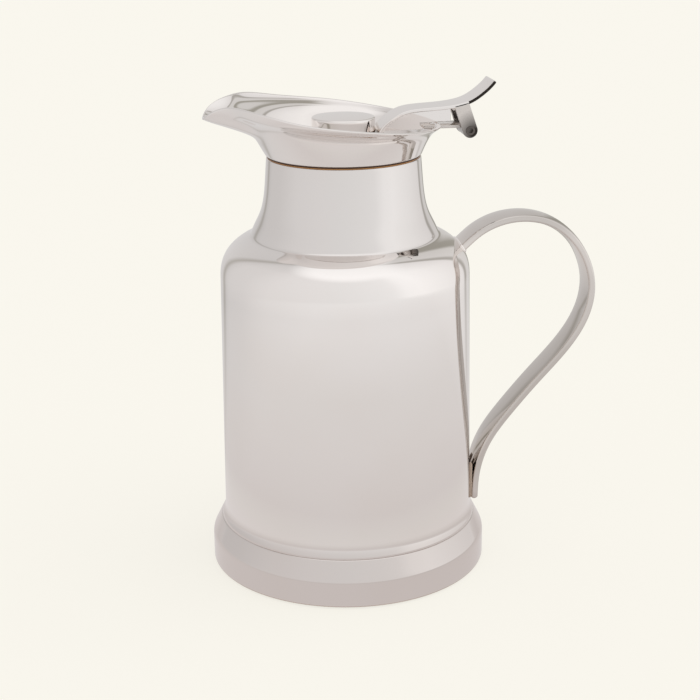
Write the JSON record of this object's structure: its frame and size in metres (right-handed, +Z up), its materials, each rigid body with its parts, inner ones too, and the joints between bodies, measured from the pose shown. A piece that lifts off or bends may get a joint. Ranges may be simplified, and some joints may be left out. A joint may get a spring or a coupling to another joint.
{
  "type": "insulated serving carafe",
  "caption": "Silver-plated insulated serving carafe with a waisted neck, screw-on spouted collar, strap handle and a hinged thumb-lever lid with a stopper.",
  "frame": {"origin": "middle of the base pad's underside, on the table and on the body's axis", "axes": "+Z up along the body's axis; +X towards the handle and the lid's hinge; -X towards the spout; the hinge pin lies along Y"},
  "size_m": [0.186, 0.1322, 0.229],
  "materials": {
    "silver_plate": "polished silver plate, softly worn",
    "brass": "machined",
    "flask_glass": "blown, silvered inside the vacuum",
    "felt": "pressed felt",
    "brown_rubber": "matt",
    "seal_silicone": "moulded, satin",
    "black_rubber": "matt",
    "moulded_plastic": "fine moulded grain",
    "stainless_steel": "turned"
  },
  "bodies": {
    "carafe": {"outer_shell": "silver_plate", "foot_ring": "silver_plate", "handle": "silver_plate", "base_pad": "black_rubber", "base_cup": "moulded_plastic", "base_thread_ring": "brass", "flask_cushion": "black_rubber", "flask_outer_bottle": "flask_glass", "flask_inner_bottle": "flask_glass", "flask_spacers": "felt", "flask_neck_bush": "black_rubber", "mouth_seal": "seal_silicone", "neck_ring": "brass"},
    "gasket": {"collar_gasket": "brown_rubber"},
    "collar": {"collar": "silver_plate", "pour_insert": "moulded_plastic", "collar_thread_ring": "brass", "hinge_bracket": "silver_plate"},
    "lid": {"lid_lever": "silver_plate", "hinge_fork": "silver_plate", "hinge_pin": "silver_plate", "lid_cap": "silver_plate", "lid_plate": "stainless_steel", "stopper_body": "moulded_plastic", "stopper_seal": "seal_silicone", "stopper_screw": "stainless_steel"}
  },
  "joints": [
    {"name": "collar_lift", "type": "slide", "parent": "carafe", "child": "gasket", "axis": [0, 0, 1], "range_m": [0, 0.0045]},
    {"name": "collar_turn", "type": "hinge", "parent": "gasket", "child": "collar", "pos_m": [0, 0, 0.1971], "axis": [0, 0, 1], "range_deg": [0, 270]},
    {"name": "lid_hinge", "type": "hinge", "parent": "collar", "child": "lid", "pos_m": [0.05713, 0, 0.2066], "axis": [0, 1, 0], "range_deg": [0, 70]}
  ],
  "couplings": [
    {"joint": "collar_lift", "follows": "collar_turn", "m_per_rad": 0.00095}
  ]
}
